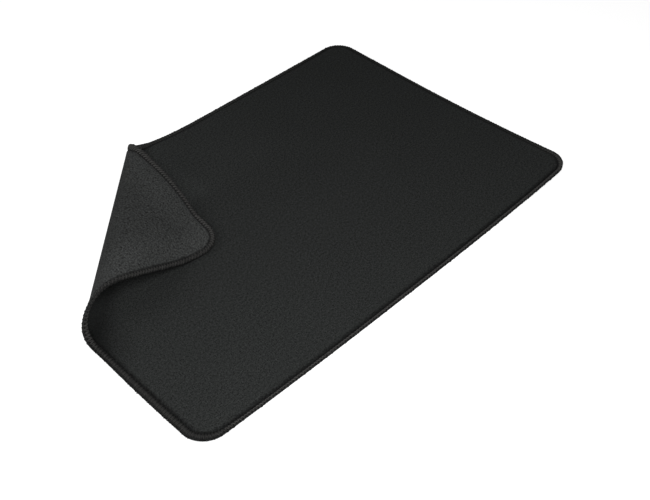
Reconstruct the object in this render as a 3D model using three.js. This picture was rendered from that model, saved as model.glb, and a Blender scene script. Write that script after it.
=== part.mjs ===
// A mouse pad: knitted cloth bonded to foam rubber, its edge overlocked, lying with one corner folded
// over. Millimetres. X runs along the long side, Y along the short side and Z up. The origin is on the
// surface that the pad lies on, under the pad's middle. The folded corner is the one at -X and +Y.

import * as THREE from 'three';
import { mergeVertices } from 'three/addons/utils/BufferGeometryUtils.js';

// The whole pad, lying flat
const padLength = 350;
const padWidth = 240;
const cornerRadius = 17;

// The three layers, from the underside up
const rubberThickness = 2.4;
const filmThickness = 0.12;
const clothThickness = 0.48;

// The overlocked edge, from the outer edge of the stitching inwards
const threadCover = 0.6; // thread outside the cut edge of the layers
const seamInset = 3.3; // to the needle's line of stitches
const needleWidth = 0.5; // of that line
const seamBlend = 3.2; // from that line to where the pad has its full thickness
const seamDepth = 0.6; // how far the thread draws each face in at the margin
const needleHeight = 0.3;
const tableGap = 0.05; // from the surface that the pad lies on to the stitching's underside

// Where the fold starts, from the folded corner along each of the two edges beside it
const foldAlongLength = 197;
const foldAlongWidth = 210;
const flapGap = 0.8; // between the flap's lowest point and the pad under it

// The bands of the fold, from the flat of the pad to the tip of the flap. A band lies between two
// straight lines across the corner, takes its share of the fold's two lengths, and turns by an angle
// in degrees. The band that settles turns as far as lays the flap on its gap.
const foldBands = [
  { lengthShare: 0.244, widthShare: 0.329, turn: 8, strips: 2 },
  { lengthShare: 0.127, widthShare: 0.081, turn: 84, strips: 6 },
  { lengthShare: 0.112, widthShare: 0.162, turn: 95, strips: 7 },
  { lengthShare: 0.325, widthShare: 0.086, turn: 31, strips: 3, settles: true },
  { lengthShare: 0.071, widthShare: 0.338, turn: -45, strips: 4 },
];

// The other three corners lift a little off the table
const nearLeftLift = 4;
const nearRightLift = 6;
const farRightLift = 0.5;
const liftReach = 110; // from the corner to where the lift starts, along the corner's diagonal

// How finely the form is divided, in counts and in shares of a stretch
const cornerSteps = 4;
const halfCornerSteps = 3;
const plainSteps = 5;
const liftedShares = [1, 0.76, 0.54, 0.36, 0.2];
const crossingShares = [0, 0.12, 0.35, 0.65, 1];

const padThickness = rubberThickness + filmThickness + clothThickness;
const left = -padLength / 2;
const right = padLength / 2;
const near = -padWidth / 2;
const far = padWidth / 2;

// The fold as a chain of cones. The lines between the bands stay straight, so no layer stretches.
// A line has its near and far ends on the flat sheet, and a frame in space: the place of its near
// end, its direction along, the direction ahead towards the flap, and the normal.
function lineAt(alongLength, alongWidth) {
  const nearEnd = new THREE.Vector2(left, far - alongWidth);
  const farEnd = new THREE.Vector2(left + alongLength, far);
  return { nearEnd, farEnd, along: farEnd.clone().sub(nearEnd).normalize() };
}

// How far a point of the flat sheet is past a line, towards the flap
function pastLine(line, x, y) {
  return line.along.x * (y - line.nearEnd.y) - line.along.y * (x - line.nearEnd.x);
}

// A frame turned about a cone's tip: the surface bends up by band.bend for each radian of the cone
function turnedFrame(band, angle) {
  const axis = band.frame.normal.clone().addScaledVector(band.frame.along, band.bend).normalize();
  const spin = angle * Math.hypot(1, band.bend);
  return {
    along: band.frame.along.clone().applyAxisAngle(axis, spin),
    normal: band.frame.normal.clone().applyAxisAngle(axis, spin),
  };
}

function foldChain(settlingTurn) {
  let alongLength = foldAlongLength;
  let alongWidth = foldAlongWidth;
  let line = lineAt(alongLength, alongWidth);
  let place = new THREE.Vector3(line.nearEnd.x, line.nearEnd.y, padThickness / 2);
  let frame = {
    along: new THREE.Vector3(line.along.x, line.along.y, 0),
    normal: new THREE.Vector3(0, 0, 1),
  };
  let turned = 0;
  const chain = [];
  for (const band of foldBands) {
    alongLength -= band.lengthShare * foldAlongLength;
    alongWidth -= band.widthShare * foldAlongWidth;
    const next = lineAt(alongLength, alongWidth);
    const coneAngle = Math.asin(line.along.cross(next.along));
    const between = next.nearEnd.clone().sub(line.nearEnd);
    const toTip = between.cross(next.along) / line.along.cross(next.along);
    const turn = THREE.MathUtils.degToRad(band.settles ? settlingTurn : band.turn);
    const cone = {
      line,
      next,
      frame,
      turned,
      coneAngle,
      bend: turn / coneAngle,
      tip: line.nearEnd.clone().addScaledVector(line.along, toTip),
      tipPlace: place.clone().addScaledVector(frame.along, toTip),
    };
    chain.push(cone);
    frame = turnedFrame(cone, coneAngle);
    const fromTip = next.nearEnd.clone().sub(cone.tip).dot(next.along);
    place = cone.tipPlace.clone().addScaledVector(frame.along, fromTip);
    line = next;
    turned += turn;
  }
  return { chain, line, frame, place, turned };
}

// How high a point of the flat sheet is lifted by the corner nearest to it
function cornerLift(x, y) {
  const corners = [
    { lift: nearLeftLift, in: x - left + y - near },
    { lift: nearRightLift, in: right - x + y - near },
    { lift: farRightLift, in: right - x + far - y },
  ];
  let height = 0;
  for (const corner of corners) {
    const share = Math.max(0, 1 - corner.in / (Math.SQRT2 * liftReach));
    height += corner.lift * share * share;
  }
  return height;
}

// The place in space of a point of the pad, given where it is on the flat sheet and its height there
function placeOn(fold, x, y, height) {
  const offset = height - padThickness / 2;
  const lift = cornerLift(x, y);
  if (pastLine(fold.chain[0].line, x, y) <= 0) {
    return new THREE.Vector3(x, y, height + lift);
  }
  const at = new THREE.Vector2(x, y);
  const cone = fold.chain.find((each) => pastLine(each.next, x, y) <= 0);
  const point = new THREE.Vector3();
  if (cone) {
    const fromTip = at.sub(cone.tip).multiplyScalar(Math.sign(cone.coneAngle));
    const angle = Math.atan2(cone.line.along.cross(fromTip), cone.line.along.dot(fromTip));
    const frame = turnedFrame(cone, angle);
    point.copy(cone.tipPlace);
    point.addScaledVector(frame.along, fromTip.length() * Math.sign(cone.coneAngle));
    point.addScaledVector(frame.normal, offset);
  } else {
    const ahead = fold.frame.normal.clone().cross(fold.frame.along);
    point.copy(fold.place);
    point.addScaledVector(fold.frame.along, at.sub(fold.line.nearEnd).dot(fold.line.along));
    point.addScaledVector(ahead, pastLine(fold.line, x, y));
    point.addScaledVector(fold.frame.normal, offset);
  }
  point.z += lift;
  return point;
}

// A station is a place on the edge. Its centre is a corner radius in from the outer edge, and its
// direction points square out of the edge.
function station(x, y, angle) {
  const outwards = new THREE.Vector2(Math.cos(angle), Math.sin(angle));
  return { centre: new THREE.Vector2(x, y), outwards };
}

function flatPoint(at, inset) {
  return at.centre.clone().addScaledVector(at.outwards, cornerRadius - inset);
}

function onLeftEdge(y) {
  return station(left + cornerRadius, y, Math.PI);
}

function onNearEdge(x) {
  return station(x, near + cornerRadius, -Math.PI / 2);
}

function onRightEdge(y) {
  return station(right - cornerRadius, y, 0);
}

function onFarEdge(x) {
  return station(x, far - cornerRadius, Math.PI / 2);
}

function round(cornerX, cornerY, from, to, steps) {
  const stations = [];
  const x = cornerX - Math.sign(cornerX) * cornerRadius;
  const y = cornerY - Math.sign(cornerY) * cornerRadius;
  for (let step = 1; step <= steps; step += 1) {
    stations.push(station(x, y, from + ((to - from) * step) / steps));
  }
  return stations;
}

function spread(from, to, steps, make) {
  const stations = [];
  for (let step = 1; step <= steps; step += 1) {
    stations.push(make(from + ((to - from) * step) / steps));
  }
  return stations;
}

// Two rows of stations run from the folded corner to the opposite one, along the near edges and along
// the far edges, and stations of equal number are joined across the pad. In the fold these crossings
// lie along the straight lines of the bands.
function foldCrossings(fullInset) {
  const crossings = [];
  let alongLength = foldAlongLength;
  let alongWidth = foldAlongWidth;
  const add = () => {
    const y = far - alongWidth + (alongWidth / alongLength) * fullInset;
    const x = left + alongLength - (alongLength / alongWidth) * fullInset;
    const onStraights = y < far - cornerRadius && y > near + cornerRadius && x > left + cornerRadius;
    if (onStraights && x < right - cornerRadius) {
      crossings.push({ nearSide: onLeftEdge(y), farSide: onFarEdge(x) });
    }
  };
  add();
  for (const band of foldBands) {
    for (let strip = 0; strip < band.strips; strip += 1) {
      alongLength -= (band.lengthShare * foldAlongLength) / band.strips;
      alongWidth -= (band.widthShare * foldAlongWidth) / band.strips;
      add();
    }
  }
  return crossings.reverse();
}

function stationRows(fullInset) {
  const fold = foldCrossings(fullInset);
  const tipX = fold[0].farSide.centre.x;
  const tipSteps = halfCornerSteps + 1;
  const nearTip = round(left, far, Math.PI * 0.75, Math.PI, tipSteps);
  const farTip = [
    ...round(left, far, Math.PI * 0.75, Math.PI / 2, halfCornerSteps),
    onFarEdge((left + cornerRadius + tipX) / 2),
  ];
  const lifted = Math.SQRT2 * liftReach;
  const startX = right - lifted;
  const startY = near + lifted;
  const plainX = fold[fold.length - 1].farSide.centre.x;
  const nearRest = [
    onLeftEdge(near + cornerRadius),
    ...round(left, near, Math.PI, 1.5 * Math.PI, cornerSteps),
    ...spread(left + cornerRadius, startX, plainSteps, onNearEdge),
    ...liftedShares.slice(1).map((share) => onNearEdge(right - lifted * share)),
    onNearEdge(right - cornerRadius),
    ...round(right, near, 1.5 * Math.PI, 1.75 * Math.PI, halfCornerSteps),
  ];
  const farRest = [
    ...spread(plainX, right - cornerRadius, plainSteps, onFarEdge),
    ...round(right, far, Math.PI / 2, 0, cornerSteps),
    onRightEdge(startY),
    ...liftedShares.slice(1).map((share) => onRightEdge(near + lifted * share)),
    onRightEdge(near + cornerRadius),
    ...round(right, near, 0, -Math.PI / 4, halfCornerSteps),
  ];
  const tip = round(left, far, Math.PI * 0.75, Math.PI * 0.75, 1);
  return {
    nearRow: [...tip, ...nearTip, ...fold.map((each) => each.nearSide), ...nearRest],
    farRow: [...tip, ...farTip, ...fold.map((each) => each.farSide), ...farRest],
  };
}

const seamEnd = seamInset + needleWidth;
const fullInset = seamEnd + seamBlend;
const { nearRow, farRow } = stationRows(fullInset);
const edgeLoop = [...nearRow, ...farRow.slice(1, -1).reverse()];

// The settling band turns until the lowest point of the flap's cloth has its gap above the pad
function flapHeight(settlingTurn) {
  const fold = foldChain(settlingTurn);
  let lowest = Infinity;
  for (const at of edgeLoop) {
    for (const inset of [0, seamInset, fullInset]) {
      const point = flatPoint(at, inset);
      if (pastLine(fold.chain[2].next, point.x, point.y) > 0) {
        lowest = Math.min(lowest, placeOn(fold, point.x, point.y, padThickness).z);
      }
    }
  }
  return lowest - padThickness;
}

function settledTurn() {
  let least = -60;
  let most = 120;
  for (let halving = 0; halving < 30; halving += 1) {
    const turn = (least + most) / 2;
    if (flapHeight(turn) > flapGap) {
      least = turn;
    } else {
      most = turn;
    }
  }
  return least;
}

const fold = foldChain(settledTurn());

// A surface is collected as triangles and becomes one mesh
function newSurface() {
  return [];
}

function addTriangle(surface, a, b, c) {
  surface.push(a, b, c);
}

// One quad between two stations and two points of a profile. Its diagonal doesn't depend on which side
// the quad is seen from, so faces that touch are divided alike.
function addQuad(surface, a, b, nextB, nextA, fromA) {
  if (fromA) {
    addTriangle(surface, a, b, nextB);
    addTriangle(surface, a, nextB, nextA);
  } else {
    addTriangle(surface, a, b, nextA);
    addTriangle(surface, b, nextB, nextA);
  }
}

// A profile is a row of points, each an inset from the outer edge and a height, and runs round the pad
function addRun(surface, profile, closed) {
  const rows = edgeLoop.map((at) =>
    profile.map(({ inset, height }) => {
      const point = flatPoint(at, inset);
      return placeOn(fold, point.x, point.y, height);
    }),
  );
  const sides = closed ? profile.length : profile.length - 1;
  rows.forEach((row, index) => {
    const next = rows[(index + 1) % rows.length];
    for (let side = 0; side < sides; side += 1) {
      const other = (side + 1) % profile.length;
      const a = profile[side];
      const b = profile[other];
      const fromA = a.inset > b.inset || (a.inset === b.inset && a.height > b.height);
      addQuad(surface, row[side], row[other], next[other], next[side], fromA);
    }
  });
}

// The field of a layer's face, inside its margin
function addField(surface, height, facesUp) {
  const crossings = nearRow.map((nearStation, index) => {
    const from = flatPoint(nearStation, fullInset);
    const to = flatPoint(farRow[index], fullInset);
    return crossingShares.map((share) => {
      const point = from.clone().lerp(to, share);
      return placeOn(fold, point.x, point.y, height);
    });
  });
  for (let index = 0; index + 1 < crossings.length; index += 1) {
    const here = crossings[index];
    const next = crossings[index + 1];
    for (let part = 0; part + 1 < crossingShares.length; part += 1) {
      const corners = [here[part], next[part], next[part + 1], here[part + 1]];
      for (const [a, b, c] of [[0, 1, 2], [0, 2, 3]]) {
        const order = facesUp ? [a, b, c] : [a, c, b];
        addTriangle(surface, ...order.map((number) => corners[number]));
      }
    }
  }
}

function meshOf(name, surface, material) {
  const kept = [];
  for (let index = 0; index < surface.length; index += 3) {
    const [a, b, c] = surface.slice(index, index + 3);
    const area = b.clone().sub(a).cross(c.clone().sub(a)).length();
    if (area > 0) {
      kept.push(a, b, c);
    }
  }
  const geometry = mergeVertices(new THREE.BufferGeometry().setFromPoints(kept));
  geometry.computeVertexNormals();
  const mesh = new THREE.Mesh(geometry, material);
  mesh.name = name;
  return mesh;
}

// The heights of the layers' faces. At the margin the thread draws both faces in by the seam's depth,
// and at the cut edge a little more.
const edgeInset = threadCover;
const marginInset = threadCover * 2;
const edgeDepth = seamDepth * 1.5;

function faceProfile(height) {
  const share = height / padThickness;
  const drawnIn = (depth) => depth + share * (padThickness - 2 * depth);
  return [
    { inset: fullInset, height },
    { inset: seamEnd, height: drawnIn(seamDepth) },
    { inset: seamInset, height: drawnIn(seamDepth) },
    { inset: marginInset, height: drawnIn(seamDepth) },
    { inset: edgeInset, height: drawnIn(edgeDepth) },
  ];
}

function addLayer(surface, bottom, top, edgeHeights = []) {
  const upper = faceProfile(top);
  const lower = faceProfile(bottom).reverse();
  const wall = edgeHeights.map((height) => ({ inset: edgeInset, height }));
  addRun(surface, [...upper, ...wall, ...lower], false);
  addField(surface, top, true);
  addField(surface, bottom, false);
}

const clothBottom = rubberThickness + filmThickness;
const edgeMiddle = padThickness / 2 - tableGap;

// Rubber base: black foam rubber, its underside finely pebbled for grip
const rubberSurface = newSurface();
addLayer(rubberSurface, 0, rubberThickness, [edgeMiddle]);
const rubberBase = meshOf(
  'rubber_base',
  rubberSurface,
  new THREE.MeshStandardMaterial({ color: 0x343635, roughness: 0.85, metalness: 0 }),
);

// Bonding film: the layer of hot-melt adhesive between the rubber and the cloth
const filmSurface = newSurface();
addLayer(filmSurface, rubberThickness, clothBottom);
const bondingFilm = meshOf(
  'bonding_film',
  filmSurface,
  new THREE.MeshStandardMaterial({ color: 0x8d8b84, roughness: 0.5, metalness: 0 }),
);

// Cloth top: a close black polyester knit
const clothSurface = newSurface();
addLayer(clothSurface, clothBottom, padThickness);
const clothTop = meshOf(
  'cloth_top',
  clothSurface,
  new THREE.MeshStandardMaterial({ color: 0x272928, roughness: 0.95, metalness: 0 }),
);

// The stitching, each thread as the band that it lays along the edge. The two loopers' threads cover
// the margin above and below and meet on the cut edge; the needle's thread runs in the groove.
const beadShoulder = threadCover / 2;
const topFace = faceProfile(padThickness);
const bottomFace = faceProfile(0);
const clothEdge = faceProfile(clothBottom)[4];
const filmEdge = faceProfile(rubberThickness)[4];
const edgeFold = { inset: edgeInset, height: edgeMiddle };
const outerFold = { inset: 0, height: edgeMiddle };

const upperSurface = newSurface();
addRun(
  upperSurface,
  [
    { inset: seamInset, height: topFace[2].height + needleHeight },
    { inset: seamInset - needleWidth, height: padThickness },
    { inset: marginInset, height: padThickness },
    { inset: beadShoulder, height: padThickness - beadShoulder },
    { inset: 0, height: padThickness - marginInset },
    outerFold,
    edgeFold,
    filmEdge,
    clothEdge,
    topFace[4],
    topFace[3],
    topFace[2],
  ],
  true,
);
const upperLooperThread = meshOf(
  'upper_looper_thread',
  upperSurface,
  new THREE.MeshStandardMaterial({ color: 0x2b2a29, roughness: 0.6, metalness: 0 }),
);

const lowerSurface = newSurface();
addRun(
  lowerSurface,
  [
    bottomFace[2],
    bottomFace[3],
    bottomFace[4],
    edgeFold,
    outerFold,
    { inset: 0, height: marginInset },
    { inset: beadShoulder, height: beadShoulder + tableGap },
    { inset: marginInset, height: tableGap },
    { inset: seamInset - needleWidth, height: tableGap },
    { inset: seamInset, height: bottomFace[2].height - needleHeight },
  ],
  true,
);
const lowerLooperThread = meshOf(
  'lower_looper_thread',
  lowerSurface,
  new THREE.MeshStandardMaterial({ color: 0x2a2a2a, roughness: 0.6, metalness: 0 }),
);

const needleSurface = newSurface();
addRun(
  needleSurface,
  [
    { inset: seamEnd - needleWidth / 4, height: topFace[1].height + needleHeight },
    { inset: seamInset, height: topFace[2].height + needleHeight },
    topFace[2],
    topFace[1],
  ],
  true,
);
const needleThread = meshOf(
  'needle_thread',
  needleSurface,
  new THREE.MeshStandardMaterial({ color: 0x232322, roughness: 0.6, metalness: 0 }),
);

const pad = new THREE.Group();
pad.add(rubberBase, bondingFilm, clothTop, upperLooperThread, lowerLooperThread, needleThread);

export default pad;
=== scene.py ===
import bpy
import numpy as np
from mathutils import Matrix, Vector


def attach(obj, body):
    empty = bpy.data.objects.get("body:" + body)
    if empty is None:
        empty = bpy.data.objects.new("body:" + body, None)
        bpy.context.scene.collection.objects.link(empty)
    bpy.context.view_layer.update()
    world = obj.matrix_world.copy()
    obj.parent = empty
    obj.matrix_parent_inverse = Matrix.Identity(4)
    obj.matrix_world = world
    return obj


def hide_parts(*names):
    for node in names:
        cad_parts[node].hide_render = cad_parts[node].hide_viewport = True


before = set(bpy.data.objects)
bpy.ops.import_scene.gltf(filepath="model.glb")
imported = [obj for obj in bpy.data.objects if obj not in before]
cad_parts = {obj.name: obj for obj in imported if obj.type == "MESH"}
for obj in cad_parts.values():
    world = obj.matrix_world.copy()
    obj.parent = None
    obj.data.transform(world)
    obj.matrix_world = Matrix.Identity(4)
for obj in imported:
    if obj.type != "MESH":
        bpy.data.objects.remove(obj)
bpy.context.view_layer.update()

# Rubber base
# Black foam rubber, 2.4 mm thick, with a fine pebble grain embossed on its underside for grip. It is cut
# as a rounded rectangle, the overlocking squeezes its margin thin, and one corner lies folded over.
PAD_LENGTH, PAD_WIDTH, PAD_THICKNESS = 0.350, 0.240, 0.0030
CORNER_RADIUS = 0.017
RUBBER_SHARE = 0.80  # of the pad's thickness
FIELD_INSET = 0.0110  # from the outer edge to where the margin ends and the flat field begins
STATION_STEP = 0.0010
LEFT, NEAR = -PAD_LENGTH / 2, -PAD_WIDTH / 2

# Across the margin, from the cut edge to the field: the inset from the stitching's outer edge, and the
# heights of the pad's top and of its underside, in millimetres. The groove is where the needle goes through.
MARGIN = 0.001 * np.array([
    (0.35, 2.20, 0.80),
    (0.44, 2.32, 0.68),
    (0.75, 2.45, 0.55),
    (1.30, 2.52, 0.48),
    (2.00, 2.52, 0.47),
    (2.70, 2.44, 0.52),
    (3.05, 2.22, 0.68),
    (3.32, 1.92, 0.86),
    (3.68, 1.80, 0.92),
    (4.00, 1.86, 0.80),
    (4.25, 2.14, 0.54),
    (4.50, 2.46, 0.31),
    (4.85, 2.75, 0.17),
    (5.30, 2.88, 0.08),
    (5.90, 2.96, 0.03),
    (6.45, 2.99, 0.01),
    (7.00, 3.00, 0.00),
    (8.00, 3.00, 0.00),
    (9.40, 3.00, 0.00),
    (11.0, 3.00, 0.00),
])

# The fold: where it starts, from the corner along the long and the short edge, and its bands. Each band
# takes a share of both lengths and turns by so many degrees. The settling band, counted from 0, turns
# further or less than that, until the flap lies at its gap over the pad.
FOLD_ALONG = np.array([0.197, 0.210])
FOLD_SHARES = np.array([(0.244, 0.329), (0.127, 0.081), (0.112, 0.162), (0.325, 0.086), (0.071, 0.338)])
FOLD_TURNS = np.array([8.0, 84.0, 95.0, 31.0, -45.0])
SETTLING_BAND = 3
FLAP_GAP = 0.0008

# The three open corners rise a little: the direction inwards from each, along x and y, and its lift.
CORNER_LIFTS = ((1, 1, 0.0040), (-1, 1, 0.0060), (-1, -1, 0.0005))
LIFT_REACH = 0.110

# Where the sheet bends, its free edge flares away from the bend, and the flap's lower edge hangs down (the
# last two rows). Each row: the side (0 left, 1 far), where along it the flare begins, is full, is full still
# and ends, how far the rim moves to the rubber's side, and how far in from the edge the flare reaches.
FLARES = np.array([
    (0, -0.034, -0.002, 0.022, 0.052, 0.0019, 0.0110),
    (1, -0.088, -0.072, -0.060, -0.048, 0.0005, 0.0110),
    (1, -0.056, -0.048, -0.040, -0.024, -0.0019, 0.0110),
    (1, -0.055, -0.041, -0.028, -0.009, -0.0008, 0.0200),
    (0, 0.030, 0.092, 0.096, 0.110, -0.0015, 0.0300),
    (0, 0.056, 0.084, 0.090, 0.100, -0.0011, 0.0220),
])


def turned(along, normal, bend, angle):
    """A frame carried round a cone: both vectors turn about (normal + bend * along), made of unit length,
    by angle * sqrt(1 + bend^2), with Rodrigues' formula."""
    axis = (normal + bend * along) / np.hypot(1, bend)
    spin = np.asarray(angle)[..., None] * np.hypot(1, bend)
    return [
        v * np.cos(spin) + np.cross(axis, v) * np.sin(spin) + axis * (axis @ v) * (1 - np.cos(spin))
        for v in (along, normal)
    ]


def flat_cross(a, b):
    """The cross product of two flat directions: positive where b lies to the left of a."""
    return a[..., 0] * b[..., 1] - a[..., 1] * b[..., 0]


def fold_chain(turns):
    """The fold as a chain of cones. Straight lines cross the corner; the sheet turns about the point where two
    neighbouring lines meet, so that no length in its middle surface changes. A cone's bend is its band's turn /
    the angle between its two lines."""
    spent = np.vstack([[0, 0], np.cumsum(FOLD_SHARES, axis=0)])
    reach = FOLD_ALONG * (1 - spent)
    near_ends = np.stack([np.full(len(reach), LEFT), -NEAR - reach[:, 1]], axis=1)
    far_ends = np.stack([LEFT + reach[:, 0], np.full(len(reach), -NEAR)], axis=1)
    lines = (far_ends - near_ends) / np.linalg.norm(far_ends - near_ends, axis=1)[:, None]
    place = np.array([*near_ends[0], PAD_THICKNESS / 2])
    along, normal = np.array([*lines[0], 0.0]), np.array([0.0, 0.0, 1.0])
    cones = []
    for band, turn in enumerate(np.radians(turns)):
        opening = flat_cross(lines[band], lines[band + 1])
        to_tip = flat_cross(near_ends[band + 1] - near_ends[band], lines[band + 1]) / opening
        cone = {
            "start": near_ends[band], "line": lines[band], "along": along, "normal": normal,
            "tip": near_ends[band] + to_tip * lines[band], "tip_place": place + to_tip * along,
            "side": np.sign(opening), "bend": turn / np.arcsin(opening),
        }
        cones.append(cone)
        along, normal = turned(along, normal, cone["bend"], np.arcsin(opening))
        place = cone["tip_place"] + (near_ends[band + 1] - cone["tip"]) @ lines[band + 1] * along
    flap = {"start": near_ends[-1], "line": lines[-1], "place": place, "along": along, "normal": normal}
    return cones, flap


def flared(x, y):
    """How far the sheet stands off to the rubber's side: the sum of each flare's amount * rise^2 * (3 - 2 * rise)
    * (1 - inset / reach)^2, where rise goes from 0 to 1 and back along the side."""
    total = np.zeros(np.shape(x))
    for side, begins, full, last_full, ends, amount, reach in FLARES:
        run, inset = ((y, x - LEFT), (x, -NEAR - y))[int(side)]
        rise = np.clip(np.minimum((run - begins) / (full - begins), (ends - run) / (ends - last_full)), 0, 1)
        total += amount * rise**2 * (3 - 2 * rise) * np.clip(1 - inset / reach, 0, 1) ** 2
    return total


def placed(x, y, height, fold):
    """The flat sheet's points (x, y) at a height over its underside, folded: within a band a point keeps its
    distance from the cone's tip and its angle about it, and past the last line it is carried rigidly. The three
    other corners then rise by lift * (1 - distance in from the corner / reach)^2."""
    x, y, height = np.broadcast_arrays(x, y, height)
    height = height - flared(x, y)
    flat = np.stack([x, y], axis=-1)
    offset = (height - PAD_THICKNESS / 2)[..., None]
    out = np.stack([x, y, height], axis=-1).astype(float)
    cones, flap = fold
    for cone in cones:
        past = flat_cross(cone["line"], flat - cone["start"]) > 0
        out_of_tip = (flat[past] - cone["tip"]) * cone["side"]
        angle = np.arctan2(flat_cross(cone["line"], out_of_tip), out_of_tip @ cone["line"])
        along, normal = turned(cone["along"], cone["normal"], cone["bend"], angle)
        distance = np.linalg.norm(out_of_tip, axis=-1)[..., None] * cone["side"]
        out[past] = cone["tip_place"] + distance * along + offset[past] * normal
    ahead = flat_cross(flap["line"], flat - flap["start"])
    past = ahead > 0
    out[past] = (
        flap["place"]
        + ((flat[past] - flap["start"]) @ flap["line"])[..., None] * flap["along"]
        + ahead[past][..., None] * np.cross(flap["normal"], flap["along"])
        + offset[past] * flap["normal"]
    )
    for side_x, side_y, lift in CORNER_LIFTS:
        inwards = side_x * x - LEFT + side_y * y - NEAR
        out[..., 2] += lift * np.maximum(0, 1 - inwards / (np.sqrt(2) * LIFT_REACH)) ** 2
    return out


# The outer edge, counterclockwise from the middle of the folded corner. Along it the centre that the
# corner radius is drawn from and the direction out of the edge change evenly or not at all.
EDGE_RUNS = np.array([np.pi / 4, 0, np.pi / 2, 0, np.pi / 2, 0, np.pi / 2, 0, np.pi / 4]) * CORNER_RADIUS
EDGE_RUNS[[1, 5]] = PAD_WIDTH - 2 * CORNER_RADIUS
EDGE_RUNS[[3, 7]] = PAD_LENGTH - 2 * CORNER_RADIUS
EDGE_AT = np.concatenate([[0], np.cumsum(EDGE_RUNS)])
EDGE_CENTRES = (np.array([PAD_LENGTH, PAD_WIDTH]) / 2 - CORNER_RADIUS) * np.array([
    (-1, 1), (-1, 1), (-1, -1), (-1, -1), (1, -1), (1, -1), (1, 1), (1, 1), (-1, 1), (-1, 1),
])
EDGE_ANGLES = np.radians([135, 180, 180, 270, 270, 360, 360, 450, 450, 495])
EDGE_LENGTH = EDGE_AT[-1]

# The seam doesn't run quite evenly. At these distances along the edge it takes these shares of its usual
# width: wide along the near part of the left side and at the fold's far end, narrow along the near side and
# the right side.
SEAM_INSET, RIM_INSET = 0.0036, 0.0007
SEAM_RUN = np.array([
    (0.000, 0.90), (0.085, 0.90), (0.105, 1.15), (0.135, 1.22), (0.165, 1.52), (0.220, 1.56), (0.234, 1.38),
    (0.250, 0.72), (0.262, 0.48), (0.275, 0.44), (0.330, 0.48), (0.545, 0.55), (0.565, 0.72), (0.578, 1.05),
    (0.600, 0.95), (0.640, 0.72), (0.825, 0.72), (0.860, 0.92), (1.000, 0.95), (1.035, 1.55), (1.060, 1.35),
    (1.110, 1.00), (EDGE_LENGTH, 0.90),
])


def true_inset(along, inset):
    """An inset of the even margin, on the real one: more by (share - 1) * its part between the rim and the seam,
    and by less again from the seam to the field."""
    share = np.interp(np.mod(along, EDGE_LENGTH), SEAM_RUN[:, 0], SEAM_RUN[:, 1])
    fading = 1 - np.clip((inset - SEAM_INSET) / (FIELD_INSET - SEAM_INSET), 0, 1)
    return inset + (share - 1) * np.clip(inset - RIM_INSET, 0, SEAM_INSET - RIM_INSET) * fading


def edge_point(along, inset):
    """The flat point at a distance along the outer edge and an inset from it: centre + (radius - true inset) *
    the direction outwards."""
    reach = CORNER_RADIUS - true_inset(along, inset)
    along = np.mod(along, EDGE_LENGTH)
    angle = np.interp(along, EDGE_AT, EDGE_ANGLES)
    x = np.interp(along, EDGE_AT, EDGE_CENTRES[:, 0]) + reach * np.cos(angle)
    y = np.interp(along, EDGE_AT, EDGE_CENTRES[:, 1]) + reach * np.sin(angle)
    return x, y


def settled_fold(tries=26, least=-60.0, most=120.0, samples=1200, seam=0.0033):
    """The fold whose settling band turns so far, found by halving between the least and the most, that the flap's
    lowest point has its gap over the pad. It is looked for at samples round the rim, the seam and the field, and
    without the flares, so that they don't lift the flap."""
    x, y = edge_point(np.linspace(0, EDGE_LENGTH, samples)[:, None], np.array([0, seam, FIELD_INSET]))
    first = fold_chain(FOLD_TURNS)[0][SETTLING_BAND]
    on_flap = flat_cross(first["line"], np.stack([x, y], axis=-1) - first["start"]) > 0
    x, y = x[on_flap], y[on_flap]
    unflared = PAD_THICKNESS + flared(x, y)
    for _ in range(tries):
        turns = FOLD_TURNS.copy()
        turns[SETTLING_BAND] = (least + most) / 2
        fold = fold_chain(turns)
        lowest = placed(x, y, unflared, fold)[:, 2].min()
        if lowest - PAD_THICKNESS > FLAP_GAP:
            least = turns[SETTLING_BAND]
        else:
            most = turns[SETTLING_BAND]
    return fold


FOLD = settled_fold()


def station_rows():
    """Two rows of stations from the folded corner to the opposite one, along the near and the far edges, as
    distances along the outer edge. They are paired so that a pair lies on each of the fold's straight lines but
    the last, which crosses only the margin."""
    reach = FOLD_ALONG * (1 - np.vstack([[0, 0], np.cumsum(FOLD_SHARES, axis=0)]))[:-1]
    start = CORNER_RADIUS * (np.pi / 4 - 1)
    near = start + reach[:, 1] - reach[:, 1] / reach[:, 0] * FIELD_INSET
    far = start + reach[:, 0] - reach[:, 0] / reach[:, 1] * FIELD_INSET
    pairs = np.vstack([[0, 0], np.stack([near, far], axis=1)[::-1], [EDGE_LENGTH / 2, EDGE_LENGTH / 2]])
    rows = [pairs[:1]]
    for a, b in zip(pairs[:-1], pairs[1:]):
        steps = int(np.ceil(np.abs(b - a).max() / STATION_STEP))
        rows.append(a + (b - a) * np.arange(1, steps + 1)[:, None] / steps)
    return np.vstack(rows)


STATIONS = station_rows()
EDGE_STATIONS = np.concatenate([STATIONS[:, 0], EDGE_LENGTH - STATIONS[-2:0:-1, 1]])


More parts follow.
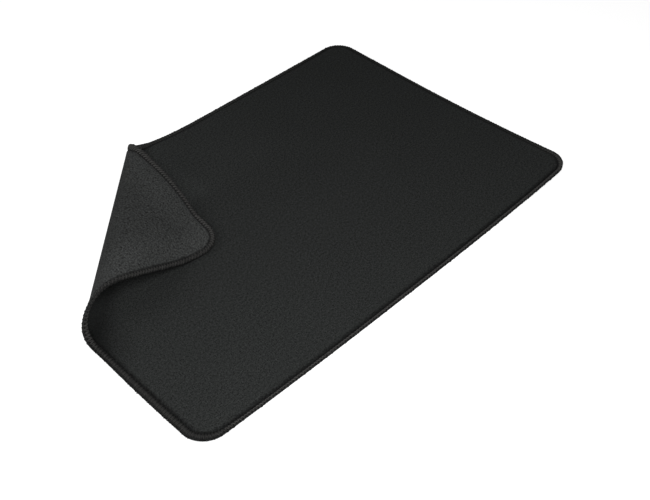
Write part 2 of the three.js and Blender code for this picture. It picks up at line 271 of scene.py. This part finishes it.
def new_piece(name, points, faces, maps, nodes):
    """A mesh from its points and from groups of faces with equally many corners. maps holds, for each UV map, one
    array of corner values per group. The piece rides on the pad's one body and stands for the nodes."""
    mesh = bpy.data.meshes.new(name)
    corners = np.concatenate([group.ravel() for group in faces])
    counts = np.concatenate([np.full(len(group), group.shape[1]) for group in faces])
    mesh.vertices.add(len(points))
    mesh.vertices.foreach_set("co", np.asarray(points, np.float32).ravel())
    mesh.loops.add(len(corners))
    mesh.loops.foreach_set("vertex_index", corners.astype(np.int32))
    mesh.polygons.add(len(counts))
    mesh.polygons.foreach_set("loop_start", (np.cumsum(counts) - counts).astype(np.int32))
    mesh.polygons.foreach_set("use_smooth", np.ones(len(counts), bool))
    mesh.update(calc_edges=True)
    mesh.validate()
    for map_name, groups in maps.items():
        values = np.concatenate([np.asarray(group).reshape(-1, 2) for group in groups])
        mesh.uv_layers.new(name=map_name).data.foreach_set("uv", values.astype(np.float32).ravel())
    piece = bpy.data.objects.new(name, mesh)
    bpy.context.scene.collection.objects.link(piece)
    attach(piece, "root")
    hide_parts(*nodes)
    return piece


def layer(name, low_share, high_share, crossing_parts, node):
    """A layer of the pad between two shares of its thickness: rings round the margin and straight crossings over
    the field, at bottom + share * (top - bottom). UV maps, in millimetres: flat is the place on the flat sheet,
    seam is the distance along the edge and the inset from it."""
    insets, tops, bottoms = MARGIN.T
    count, half = len(EDGE_STATIONS), len(STATIONS) - 1
    points, flats, seams, faces = [], [], [], {3: [], 4: []}
    first = 0
    rings = {}
    for facing, share in ((1, high_share), (-1, low_share)):
        heights = bottoms + share * (tops - bottoms)
        # The margin: a ring of points at each inset.
        x, y = edge_point(EDGE_STATIONS[:, None], insets)
        points.append(placed(x, y, heights, FOLD).reshape(-1, 3))
        flats.append(np.stack([x, y], axis=-1).reshape(-1, 2))
        past_seam = true_inset(EDGE_STATIONS[:, None], insets) - true_inset(EDGE_STATIONS[:, None], SEAM_INSET)
        from_edge = np.where(insets < SEAM_INSET, insets, SEAM_INSET + past_seam)
        seams.append(np.stack(np.broadcast_arrays(EDGE_STATIONS[:, None], from_edge), axis=-1).reshape(-1, 2))
        ring = first + np.arange(x.size).reshape(x.shape)
        rings[facing] = ring
        nxt = np.roll(ring, -1, axis=0)
        quads = np.stack([ring[:, :-1], nxt[:, :-1], nxt[:, 1:], ring[:, 1:]], axis=-1).reshape(-1, 4)
        faces[4].append(quads[:, ::facing])
        first += x.size

        # The field: straight from each station of the near edge to its partner on the far edge.
        part = np.arange(1, crossing_parts) / crossing_parts
        at = np.arange(1, half)
        near_x, near_y = x[at, -1][:, None], y[at, -1][:, None]
        far_x, far_y = x[count - at, -1][:, None], y[count - at, -1][:, None]
        x, y = near_x + (far_x - near_x) * part, near_y + (far_y - near_y) * part
        height = heights[-1]
        points.append(placed(x, y, height, FOLD).reshape(-1, 3))
        flats.append(np.stack([x, y], axis=-1).reshape(-1, 2))
        inset = np.minimum(-LEFT - np.abs(x), -NEAR - np.abs(y))
        seams.append(np.stack([np.zeros_like(x), inset], axis=-1).reshape(-1, 2))
        inner = first + np.arange(x.size).reshape(x.shape)
        rows = np.hstack([ring[at, -1:], inner, ring[count - at, -1:]])
        quads = np.stack([rows[:-1, :-1], rows[1:, :-1], rows[1:, 1:], rows[:-1, 1:]], axis=-1).reshape(-1, 4)
        faces[4].append(quads[:, ::facing])
        # A fan at each end, where the two rows of stations meet.
        for tip, row in ((ring[0, -1], rows[0]), (ring[half, -1], rows[-1][::-1])):
            fan = np.stack([np.full(len(row) - 1, tip), row[:-1], row[1:]], axis=-1)
            faces[3].append(fan[:, ::facing])
        first += x.size
    # The wall round the cut edge.
    top, bottom = rings[1][:, 0], rings[-1][:, 0]
    wall = np.stack([bottom, np.roll(bottom, -1), np.roll(top, -1), top], axis=-1)
    faces[4].append(wall)

    points, flats, seams = np.vstack(points), 1000 * np.vstack(flats), 1000 * np.vstack(seams)
    groups = [np.vstack(faces[4]), np.vstack(faces[3])]
    seam_groups = [seams[group] for group in groups]
    # A face that closes a ring spans most of the edge, and its corners at 0 belong at the edge's full length.
    along, most_of_edge, at_start = seam_groups[0][..., 0], 500, 1
    along[(np.ptp(along, axis=1) > most_of_edge)[:, None] & (along < at_start)] = 1000 * EDGE_LENGTH
    maps = {"flat": [flats[group] for group in groups], "seam": seam_groups}
    return new_piece(name, points, groups, maps, [node])


def finish_of(name):
    """A new material, and a way to add its nodes: add(type, {input: value or link}, **settings)."""
    material = bpy.data.materials.new(name)
    material.use_nodes = True
    tree = material.node_tree
    tree.nodes.clear()

    def add(kind, inputs=None, **settings):
        node = tree.nodes.new("ShaderNode" + kind)
        for key, value in settings.items():
            setattr(node, key, value)
        for key, value in (inputs or {}).items():
            if isinstance(value, bpy.types.NodeSocket):
                tree.links.new(value, node.inputs[key])
            else:
                node.inputs[key].default_value = value
        return node

    return material, add


def sums(add, kind, a, b=0.0, c=0.0):
    """One step of arithmetic on values or on other steps."""
    return add("Math", {0: a, 1: b, 2: c}, operation=kind).outputs[0]


def shared(add, place, stops):
    """A value that changes with a place, on a smooth curve through stops of (place, value)."""
    last = stops[-1][0]
    ramp = add("FloatCurve", {"Value": sums(add, "DIVIDE", place, last)})
    ramp.mapping.use_clip = False
    curve = ramp.mapping.curves[0]
    for at, value in stops[1:-1]:
        curve.points.new(at / last, value)
    curve.points[0].location = 0, stops[0][1]
    curve.points[-1].location = 1, stops[-1][1]
    for point in curve.points:
        point.handle_type = "AUTO_CLAMPED"
    ramp.mapping.update()
    return ramp.outputs[0]


def seam_share(add, stops):
    """A value that changes with the inset from the edge, in millimetres."""
    return shared(add, add("SeparateXYZ", {0: add("UVMap", uv_map="seam").outputs[0]}).outputs["Y"], stops)


def tinted(add, colour, tone):
    """A colour times a tone that varies over the surface."""
    grey = add("CombineColor", {0: tone, 1: tone, 2: tone}).outputs[0]
    parts = {"Factor": 1.0, 6: (*colour, 1), 7: grey}
    return add("Mix", parts, data_type="RGBA", blend_type="MULTIPLY").outputs[2]


def surfaced(add, colour, roughness, relief, depth, shine):
    """The surface: a colour, a roughness, a relief so many metres deep, and the shader's inputs for its shine."""
    bump = add("Bump", {"Height": relief, "Strength": 1.0, "Distance": depth})
    inputs = {"Base Color": colour, "Roughness": roughness, "Normal": bump.outputs[0], **shine}
    add("OutputMaterial", {"Surface": add("BsdfPrincipled", inputs).outputs[0]})


RUBBER_BLACK = (0.0312, 0.0324, 0.0318)

rubber, add = finish_of("pebbled_foam_rubber")
sheet_place = add("UVMap", uv_map="flat").outputs[0]
pebbles = add(
    "TexVoronoi", {"Vector": sheet_place, "Scale": 1.0, "Smoothness": 0.5, "Randomness": 0.85}, feature="SMOOTH_F1"
)
grain = add("TexNoise", {"Vector": sheet_place, "Scale": 0.8, "Detail": 2.0, "Roughness": 0.8})
blotches = add("TexNoise", {"Vector": sheet_place, "Scale": 0.035, "Detail": 3.0, "Roughness": 0.55})
domes = sums(add, "SUBTRACT", 1.0, pebbles.outputs["Distance"])
relief = sums(add, "MULTIPLY_ADD", grain.outputs["Fac"], 0.9, domes)
tone = sums(add, "MULTIPLY_ADD", domes, 0.8, sums(add, "MULTIPLY_ADD", grain.outputs["Fac"], 3.0, -1.12))
tone = sums(add, "MULTIPLY", tone, sums(add, "MULTIPLY_ADD", blotches.outputs["Fac"], 0.24, 0.88))
# Painted shade: the rubber is darker at the cut edge and under the stitching, where shade falls between the
# threads. From 5 to 24 mm in from the edge it is lighter than the rest.
tone = sums(add, "MULTIPLY", tone, seam_share(add, [
    (0, 0.3), (3.2, 0.4), (4.3, 0.6), (5.0, 1.1), (7, 1.26), (14, 1.28), (24, 1.14), (36, 1.0), (48, 1.0),
]))
roughness = sums(add, "MULTIPLY_ADD", grain.outputs["Fac"], 0.16, 0.72)
surfaced(
    add, tinted(add, RUBBER_BLACK, tone), roughness, relief, depth=0.00024, shine={"Specular IOR Level": 0.12}
)

FIELD_PARTS = 22  # in each crossing of the field, on the rubber and on the cloth
rubber_base = layer("foam_rubber_base", 0.0, RUBBER_SHARE, FIELD_PARTS, "rubber_base")
rubber_base.data.materials.append(rubber)

# Bonding film
# A hot-melt adhesive web, 0.12 mm thick once it is pressed. It is laminated between the rubber and the
# cloth over their whole area, and its cut edge is the only part that could be seen, under the stitching.
FILM_SHARE = 0.84  # of the pad's thickness, from the underside to the film's top
WEB_DARK, WEB_LIGHT = (0.026, 0.025, 0.024, 1), (0.060, 0.058, 0.054, 1)

film, add = finish_of("hot_melt_web")
sheet_place = add("UVMap", uv_map="flat").outputs[0]
strands = add("TexNoise", {"Vector": sheet_place, "Scale": 1.4, "Detail": 4.0, "Roughness": 0.7})
colour = add("ValToRGB", {"Fac": strands.outputs["Fac"]})
colour.color_ramp.elements[0].color = WEB_DARK
colour.color_ramp.elements[1].color = WEB_LIGHT
roughness = sums(add, "MULTIPLY_ADD", strands.outputs["Fac"], 0.3, 0.35)
surfaced(
    add, colour.outputs[0], roughness, strands.outputs["Fac"], depth=0.00004, shine={"Specular IOR Level": 0.5}
)

FILM_PARTS = 8  # fewer, because the film's two faces are hidden
bonding_film = layer("bonding_film_web", RUBBER_SHARE, FILM_SHARE, FILM_PARTS, "bonding_film")
bonding_film.data.materials.append(film)

# Cloth top
# A close black polyester knit, 0.48 mm thick, bonded over the whole of the rubber. Its surface is brushed
# matt. The needle's thread pulls it down into a groove, and it puckers a little beside each stitch.
STITCHES = 500
PITCH = EDGE_LENGTH / STITCHES
CLOTH_BLACK = (0.0182, 0.0194, 0.0189)

cloth, add = finish_of("close_black_knit")
sheet_place = add("UVMap", uv_map="flat").outputs[0]
across = add("SeparateXYZ", {0: sheet_place})
wales = sums(add, "PINGPONG", across.outputs["X"], 0.26)
courses = sums(add, "MULTIPLY_ADD", wales, 1.6, across.outputs["Y"])
courses = sums(add, "PINGPONG", courses, 0.19)
knit = sums(add, "ADD", sums(add, "MULTIPLY", wales, 1.9), sums(add, "MULTIPLY", courses, 2.6))
fibres = add("TexNoise", {"Vector": sheet_place, "Scale": 1.3, "Detail": 1.0, "Roughness": 0.7})
nap = add("TexNoise", {"Vector": sheet_place, "Scale": 0.6, "Detail": 2.0, "Roughness": 0.6})
clouds = add("TexNoise", {"Vector": sheet_place, "Scale": 0.02, "Detail": 3.0, "Roughness": 0.5})
seam_place = add("SeparateXYZ", {0: add("UVMap", uv_map="seam").outputs[0]})
along_seam = seam_place.outputs["X"]
puckers = sums(add, "COSINE", sums(add, "MULTIPLY", along_seam, 2 * np.pi / (1000 * PITCH)))
puckers = sums(add, "MULTIPLY", puckers, seam_share(add, [
    (0, 0), (3.4, 0.2), (4.4, 0.9), (5.6, 0.3), (7, 0), (12, 0),
]))
relief = sums(add, "MULTIPLY_ADD", knit, 0.5, sums(add, "MULTIPLY", fibres.outputs["Fac"], 0.9))
relief = sums(add, "MULTIPLY_ADD", nap.outputs["Fac"], 0.8, relief)
relief = sums(add, "MULTIPLY_ADD", puckers, 0.6, relief)
tone = sums(add, "MULTIPLY_ADD", fibres.outputs["Fac"], 3.2, -1.1)
tone = sums(add, "MULTIPLY_ADD", nap.outputs["Fac"], 1.5, sums(add, "ADD", tone, -0.25))
tone = sums(add, "MULTIPLY", tone, sums(add, "MULTIPLY_ADD", clouds.outputs["Fac"], 0.16, 0.92))
# Painted shade darkens the groove, and the cloth under the stitching out to the cut edge. Its border is ragged,
# and it lies further in along the near side. How dark it is changes along the edge, and it is faint along the
# right side.
further_in = shared(add, along_seam, [
    (0, 0), (140, 0), (165, -0.25), (220, -0.25), (245, 0), (275, 0.6), (550, 0.6), (600, 0),
    (1000 * EDGE_LENGTH, 0),
])
ragged = sums(add, "SUBTRACT", sums(add, "MULTIPLY_ADD", nap.outputs["Fac"], 2.0, -1.0), further_in)
ragged = sums(add, "ADD", seam_place.outputs["Y"], ragged)
groove_shade = shared(add, ragged, [
    (0, 0.3), (1.6, 0.4), (2.4, 0.9), (2.9, 0.85), (3.2, 0.5), (3.5, 0.22), (4.0, 0.28), (4.5, 0.42), (5.0, 0.56),
    (5.5, 0.75), (6.0, 0.88), (6.8, 1.0), (12, 1.0),
])
groove_shade_along = shared(add, along_seam, [
    (0, 1.0), (90, 1.0), (106, 0.6), (126, 0.6), (145, 0.85), (225, 0.85), (245, 1.0), (275, 0.9), (550, 0.88),
    (600, 0.3), (1000, 0.3), (1030, 1.0), (1000 * EDGE_LENGTH, 1.0),
])
groove_shade = sums(add, "MULTIPLY_ADD", sums(add, "SUBTRACT", groove_shade, 1.0), groove_shade_along, 1.0)
tone = sums(add, "MULTIPLY", tone, groove_shade)
# Painted shade darkens the bend: along a band across the corner, and at the bend's mouth on the left side. Painted
# light lightens the cloth beside the flap, to its right and behind it.
from_corner = sums(add, "ADD", across.outputs["Y"], 1000 * (LEFT + NEAR))
from_corner = sums(add, "SUBTRACT", across.outputs["X"], from_corner)
tone = sums(add, "MULTIPLY", tone, shared(add, from_corner, [
    (0, 1.0), (60, 1.0), (90, 0.85), (118, 0.8), (124, 0.75), (128, 0.64), (132, 0.58), (137, 0.54), (142, 0.64),
    (147, 0.78), (152, 0.92), (158, 1.0), (600, 1.0),
]))
BEND_MOUTH = (-178, -17, 0)
from_mouth = add("VectorMath", {0: sheet_place, 1: BEND_MOUTH}, operation="DISTANCE").outputs["Value"]
tone = sums(add, "MULTIPLY", tone, shared(add, from_mouth, [
    (0, 0.5), (10, 0.5), (14, 0.6), (17.5, 0.7), (22, 0.8), (28, 0.92), (36, 1.0), (400, 1.0),
]))
# Painted light beside the flap, to its right and behind it.
painted_light_beside = shared(add, sums(add, "ADD", across.outputs["X"], -1000 * LEFT), [
    (0, 0), (90, 0), (120, 0.52), (136, 0.52), (145, 0.36), (155, 0.16), (175, 0.1), (205, 0.08), (240, 0.02),
    (350, 0),
])
behind = shared(add, sums(add, "ADD", across.outputs["Y"], -1000 * NEAR), [
    (0, 0), (140, 0), (155, 0.1), (166, 0.45), (180, 1.0), (240, 1.0),
])
tone = sums(add, "MULTIPLY", tone, sums(add, "MULTIPLY_ADD", painted_light_beside, behind, 1.0))
roughness = sums(add, "MULTIPLY_ADD", fibres.outputs["Fac"], 0.2, 0.8)
surfaced(
    add, tinted(add, CLOTH_BLACK, tone), roughness, relief, depth=0.00016,
    shine={"Specular IOR Level": 0.06, "Sheen Weight": 0.01, "Sheen Roughness": 0.5},
)

cloth_top = layer("knit_cloth_top", FILM_SHARE, 1.0, FIELD_PARTS, "cloth_top")
cloth_top.data.materials.append(cloth)

# Needle thread
# Black spun polyester sewing thread, the straight line of the overlocking. Each stitch lies in the groove
# on the cloth, goes down through the pad and is caught in a small loop by the looper threads beneath.
SPUN_BLACK = (0.0100, 0.0100, 0.0098)

# One stitch: share of the pitch, inset from the needle's line and height, in millimetres but for the share.
NEEDLE_INSET = 3.62
needle_path = np.array([
    (0.00, 0.0, 1.75), (0.12, 0.0, 1.90), (0.34, 0.03, 2.01), (0.60, -0.02, 2.02), (0.86, 0.0, 1.92),
    (0.985, 0.0, 1.70), (1.02, 0.0, 1.00), (1.09, -0.12, 0.72), (1.02, -0.24, 0.62), (0.94, -0.12, 0.72),
    (0.99, 0.0, 1.05),
])
STRAY_SEED = 33


def sewn(name, path, across, half_width, half_height, wander, node, sides=5):
    """A thread sewn round the pad. path is one stitch, as (share of the pitch, inset, height) in millimetres but
    for the share, and across is the direction of the thread's height at each of its points. The tube's rings are
    path + half width * cos * side + half height * sin * across. Each stitch strays by wander along the edge, in
    inset and in height, most at its middle. UV maps: thread is the distance along it in millimetres and the turn
    about it, stitch is the number of stitches sewn so far and the same turn."""
    count = len(path)
    pitch = 1000 * PITCH
    steps = path * [pitch, 1, 1]
    ahead = np.roll(steps, -1, axis=0)
    ahead[-1, 0] += pitch
    behind = np.roll(steps, 1, axis=0)
    behind[0, 0] -= pitch
    tangent = (ahead - behind) / np.linalg.norm(ahead - behind, axis=1)[:, None]
    side = np.cross(across, tangent)
    side /= np.linalg.norm(side, axis=1)[:, None]
    across = np.cross(tangent, side)
    turn = 2 * np.pi * np.arange(sides) / sides
    ring = (
        steps[:, None]
        + half_width * np.cos(turn)[:, None] * side[:, None]
        + half_height * np.sin(turn)[:, None] * across[:, None]
    )
    strays = np.random.default_rng(STRAY_SEED).normal(size=(STITCHES, 3)) * wander
    middle = np.sin(np.pi * np.arange(count) / count) ** 2
    starts = np.arange(STITCHES)[:, None, None, None] * [pitch, 0, 0]
    rings = starts + ring[None] + strays[:, None, None] * middle[None, :, None, None]
    rings = 0.001 * rings.reshape(-1, sides, 3)
    x, y = edge_point(rings[..., 0], rings[..., 1])
    points = placed(x, y, rings[..., 2], FOLD).reshape(-1, 3)

    number = np.arange(len(rings) * sides).reshape(-1, sides)
    turned_on, ahead_on = np.roll(number, -1, axis=1), np.roll(number, -1, axis=0)
    quads = np.stack([number, turned_on, np.roll(ahead_on, -1, axis=1), ahead_on], axis=-1).reshape(-1, 4)
    step = np.linalg.norm(ahead - steps, axis=1)
    at = np.concatenate([[0], np.cumsum(np.tile(step, STITCHES))])
    begin, end = np.repeat(at[:-1], sides), np.repeat(at[1:], sides)
    low = np.tile(np.arange(sides) / sides, len(rings))
    high = low + 1 / sides
    sewn_on = np.repeat(np.arange(len(rings)) / count, sides)
    maps = {}
    for map_name, begin, end in (("thread", begin, end), ("stitch", sewn_on, sewn_on + 1 / count)):
        corners = (begin, low), (begin, high), (end, high), (end, low)
        maps[map_name] = [np.stack([np.stack(corner, axis=-1) for corner in corners], axis=1)]
    return new_piece(name, points, [quads], maps, [node])


# How the thread's tone changes with the distance along the edge, as painted light and shade: how much lighter or
# darker it is painted, lighter along the near and far sides and darkest along the right side, how much painted
# shade its turns at the seam and at the rim get, and how much painted shade it gets round the rim.
PAINTED_LIGHT_ALONG = [
    (0.0, 1.6), (0.015, 1.15), (0.030, 1.2), (0.045, 1.35), (0.095, 1.35), (0.106, 1.95), (0.120, 1.95),
    (0.135, 1.2), (0.225, 1.06), (0.245, 1.15), (0.280, 1.85), (0.550, 1.85), (0.575, 1.55), (0.592, 1.35),
    (0.622, 0.6), (0.825, 0.6), (0.860, 0.9), (1.005, 1.0), (1.030, 1.8), (1.115, 1.9), (1.135, 1.8),
    (EDGE_LENGTH, 1.6),
]
TURN_SHADE = [
    (0.0, 0.15), (0.018, 0.15), (0.026, 0.3), (0.070, 0.3), (0.090, 0.2), (0.110, 0.2), (0.130, 0.6),
    (0.145, 0.68), (0.225, 0.68), (0.260, 0.1), (EDGE_LENGTH, 0.15),
]
RIM_SHADE = [
    (0.0, 0.0), (0.120, 0.0), (0.145, 0.75), (0.225, 0.75), (0.245, 0.5), (0.270, 0.25), (0.550, 0.25),
    (0.600, 0.6), (0.830, 0.6), (1.010, 0.4), (1.030, 0.0), (EDGE_LENGTH, 0.0),
]


def spun_thread(name, colour, ply, fluff, sunk_shade, painted_light):
    """Plied thread: the plies wind round it, as |sin(pi * (distance / ply + 2 * turn))|, under the fluff of its
    fibres. Its tone is multiplied by painted light and shade along the edge, by painted shade of 1 - the given
    share where it lies deepest on its way back, and by 1 - the shares of painted shade at its turns and round the
    rim. A looper's stitch swings as cos(2 * pi * stitch), from 1 at the seam to -1 at the rim."""
    material, add = finish_of(name)
    place = add("UVMap", uv_map="thread").outputs[0]
    parts = add("SeparateXYZ", {0: place})
    winding = sums(add, "MULTIPLY", parts.outputs["Y"], 2.0)
    winding = sums(add, "ADD", sums(add, "DIVIDE", parts.outputs["X"], ply), winding)
    plies = sums(add, "ABSOLUTE", sums(add, "SINE", sums(add, "MULTIPLY", winding, np.pi)))
    stretched = add("Mapping", {"Vector": place, "Scale": (1.0, 5.0, 1.0)}).outputs[0]
    fibres = add("TexNoise", {"Vector": stretched, "Scale": 2.2, "Detail": 3.0, "Roughness": 0.7})
    uneven = add("TexNoise", {"Vector": place, "Scale": 0.11, "Detail": 2.0})
    relief = sums(add, "MULTIPLY_ADD", fibres.outputs["Fac"], fluff, plies)
    tone = sums(add, "MULTIPLY_ADD", relief, 0.34, 0.52)
    tone = sums(add, "MULTIPLY", tone, sums(add, "MULTIPLY_ADD", uneven.outputs["Fac"], 1.6, 0.25))
    stitch = add("SeparateXYZ", {0: add("UVMap", uv_map="stitch").outputs[0]}).outputs["X"]
    # Painted shade where the pass lies deeper on its way back.
    deep = sums(add, "COSINE", sums(add, "MULTIPLY_ADD", stitch, 2 * np.pi, -1.12 * np.pi))
    tone = sums(add, "MULTIPLY", tone, sums(add, "MULTIPLY_ADD", sums(add, "MAXIMUM", deep, 0.0), -sunk_shade, 1.0))
    swing = sums(add, "COSINE", sums(add, "MULTIPLY", stitch, 2 * np.pi))
    along = sums(add, "MULTIPLY", stitch, PITCH)
    # Painted light and shade along the edge.
    tone = sums(add, "MULTIPLY", tone, shared(add, along, painted_light))
    # Painted shade at the turns at the seam and at the rim, and round the rim.
    turns = sums(add, "MULTIPLY", sums(add, "ABSOLUTE", swing), shared(add, along, TURN_SHADE))
    tone = sums(add, "MULTIPLY", tone, sums(add, "SUBTRACT", 1.0, turns))
    painted_rim_shade = add("MapRange", {"Value": swing, "From Min": -0.05, "From Max": -0.7}).outputs[0]
    painted_rim_shade = sums(add, "MULTIPLY", painted_rim_shade, shared(add, along, RIM_SHADE))
    tone = sums(add, "MULTIPLY", tone, sums(add, "SUBTRACT", 1.0, painted_rim_shade))
    roughness = sums(add, "MULTIPLY_ADD", fibres.outputs["Fac"], 0.25, 0.45)
    surfaced(
        add, tinted(add, colour, tone), roughness, relief, depth=0.00006,
        shine={"Specular IOR Level": 0.08, "Sheen Weight": 0.01, "Sheen Roughness": 0.5},
    )
    return material


needle_path[:, 1] += NEEDLE_INSET
inwards = np.tile([0.0, 1.0, 0.0], (len(needle_path), 1))
needle_thread = sewn(
    "needle_thread_stitches", needle_path, inwards,
    half_width=0.17, half_height=0.20, wander=(0, 0.03, 0.02), node="needle_thread",
)
needle_thread.data.materials.append(
    spun_thread("black_needle_thread", SPUN_BLACK, ply=0.7, fluff=0.4, sunk_shade=0.0, painted_light=PAINTED_LIGHT_ALONG)
)

# Upper looper thread
# Black textured polyester, soft and bulky. It never goes through the pad: from under one needle stitch it
# runs over the top of the margin to the cut edge, round the lower looper's thread, and back to the next.
TEXTURED_BLACK = (0.0270, 0.0264, 0.0253)

# The way from the seam over the margin to the middle of the cut edge: inset and height, in millimetres.
upper_wrap = np.array([
    (3.55, 2.14), (3.22, 2.42), (2.80, 2.66), (2.20, 2.77), (1.50, 2.77), (1.00, 2.69),
    (0.62, 2.48), (0.36, 2.14), (0.27, 1.78), (0.25, 1.48),
])


def looped(wrap, lean, rounding, facing, sink, count=12):
    """One stitch of a looper's thread: a zigzag between the seam and the cut edge, as
    (1 - asin(rounding * cos) / asin(rounding)) / 2 of the way along the wrap, whose turns at the edge lie ahead
    by lean. On its way back it lies deeper by sink. Returns the path and the direction out of the pad at each of
    its points."""
    phase = np.arange(count) / count
    share = (1 - np.arcsin(rounding * np.cos(2 * np.pi * phase)) / np.arcsin(rounding)) / 2
    lengths = np.concatenate([[0], np.cumsum(np.linalg.norm(np.diff(wrap, axis=0), axis=1))])
    at = share * lengths[-1]
    inset, height = (np.interp(at, lengths, wrap[:, k]) for k in (0, 1))
    slope = np.gradient(wrap, axis=0)
    slope = np.stack([np.interp(at, lengths, slope[:, k]) for k in (0, 1)], axis=1)
    slope /= np.linalg.norm(slope, axis=1)[:, None]
    path = np.stack([phase + lean * share, inset, height], axis=1)
    outwards = facing * np.stack([np.zeros(count), slope[:, 1], -slope[:, 0]], axis=1)
    path -= sink * np.clip(np.cos(2 * np.pi * phase - 1.3 * np.pi), 0, 1)[:, None] * outwards
    return path, outwards


upper_path, upper_out = looped(upper_wrap, lean=0.16, rounding=0.93, facing=1, sink=0.24)
upper_thread = sewn(
    "upper_looper_stitches", upper_path, upper_out,
    half_width=0.46, half_height=0.27, wander=(0.16, 0.14, 0.06), node="upper_looper_thread",
)

# The upper thread gets painted shade along the flap's lower edge, where it faces down, and past it the same
# painted light and shade as the others.
SHADED_UNDER_FLAP = [(0.0, 1.6), (0.012, 1.0), (0.022, 0.3), (0.070, 0.3), (0.085, 0.9), *PAINTED_LIGHT_ALONG[4:]]
upper_thread.data.materials.append(spun_thread(
    "black_textured_thread_above", TEXTURED_BLACK, ply=1.1, fluff=0.9, sunk_shade=0.6, painted_light=SHADED_UNDER_FLAP
))

# Lower looper thread
# The same thread on the underside: from the needle's small loop it runs over the margin to the cut edge,
# is caught there by the upper looper's thread, and comes back.
lower_wrap = np.array([
    (3.50, 0.78), (3.20, 0.54), (2.80, 0.37), (2.20, 0.30), (1.50, 0.30), (1.00, 0.37),
    (0.62, 0.56), (0.36, 0.88), (0.27, 1.22), (0.25, 1.52),
])
LOWER_LAG = 0.42  # of the pitch, so that the two loopers' threads interlock at the cut edge
lower_path, lower_out = looped(lower_wrap, lean=0.36, rounding=0.93, facing=-1, sink=0.24)
lower_path[:, 0] += LOWER_LAG
lower_thread = sewn(
    "lower_looper_stitches", lower_path, lower_out,
    half_width=0.38, half_height=0.26, wander=(0.16, 0.14, 0.04), node="lower_looper_thread",
)
lower_thread.data.materials.append(spun_thread(
    "black_textured_thread_below", TEXTURED_BLACK, ply=1.1, fluff=0.9, sunk_shade=0.6, painted_light=PAINTED_LIGHT_ALONG
))

# Floor, light and camera
# A plain pale floor, which keeps the pad's shadow and glows for the camera alone, more so away from the pad. A
# soft lamp stands in front and a weaker one behind the fold, on the left, in an even surround. The camera looks
# down over the near left corner, as the photograph's did.
FLOOR_REACH = 3.0
FLOOR_GREY, SURROUND = 0.45, 0.14
LAMPS_AIM_AT = (-0.04, -0.03, 0)

floor_mesh = bpy.data.meshes.new("floor")
floor_corners = [(x * FLOOR_REACH, y * FLOOR_REACH, 0) for x, y in ((-1, -1), (1, -1), (1, 1), (-1, 1))]
floor_mesh.from_pydata(floor_corners, [], [(0, 1, 2, 3)])
floor = bpy.data.objects.new("floor", floor_mesh)
bpy.context.scene.collection.objects.link(floor)
white, add = finish_of("white_floor")
seen = add("LightPath")
lit = add("BsdfDiffuse", {"Color": (FLOOR_GREY, FLOOR_GREY, FLOOR_GREY, 1)})
from_pad = add("VectorMath", {0: add("TexCoord").outputs["Object"]}, operation="LENGTH").outputs["Value"]
glow = add("MapRange", {"Value": from_pad, "From Min": 0.45, "From Max": 1.0, "To Min": 0.8, "To Max": 1.0})
glow = sums(add, "MULTIPLY", seen.outputs["Is Camera Ray"], glow.outputs[0])
added = add("Emission", {"Color": (1, 1, 1, 1), "Strength": glow})
both = add("AddShader", {0: lit.outputs[0], 1: added.outputs[0]})
add("OutputMaterial", {"Surface": both.outputs[0]})
floor_mesh.materials.append(white)

world = bpy.data.worlds.new("surround")
bpy.context.scene.world = world
world.use_nodes = True
nodes, links = world.node_tree.nodes, world.node_tree.links
path = nodes.new("ShaderNodeLightPath")
bright = nodes.new("ShaderNodeMath")
bright.operation = "MAXIMUM"
links.new(path.outputs["Is Camera Ray"], bright.inputs[0])
bright.inputs[1].default_value = SURROUND
links.new(bright.outputs[0], nodes["Background"].inputs["Strength"])
nodes["Background"].inputs["Color"].default_value = (1, 1, 1, 1)

for name, place, energy in (
    ("front_lamp", (-0.217, -0.313, 0.398), 3.2),
    ("back_lamp", (-0.490, 0.285, 0.400), 1.50),
):
    lamp = bpy.data.lights.new(name, "AREA")
    lamp.shape, lamp.size, lamp.size_y, lamp.energy = "RECTANGLE", 0.34, 0.30, energy
    lamp_object = bpy.data.objects.new(name, lamp)
    lamp_object.location = place
    lamp_object.rotation_euler = (Vector(LAMPS_AIM_AT) - Vector(place)).to_track_quat("-Z", "Y").to_euler()
    lamp_object.visible_camera = False
    bpy.context.scene.collection.objects.link(lamp_object)

camera = bpy.data.cameras.new("camera")
camera.sensor_width, camera.lens = 36.0, 53.25
camera.clip_start, camera.clip_end = 0.01, 20
camera_object = bpy.data.objects.new("camera", camera)
bpy.context.scene.collection.objects.link(camera_object)
camera_object.matrix_world = Matrix((
    (0.7099, 0.4978, -0.4981, -0.3343),
    (-0.7042, 0.4932, -0.5107, -0.3826),
    (-0.0085, 0.7134, 0.7008, 0.4533),
    (0, 0, 0, 1),
))
bpy.context.scene.camera = camera_object
bpy.context.scene.view_settings.view_transform = "Standard"
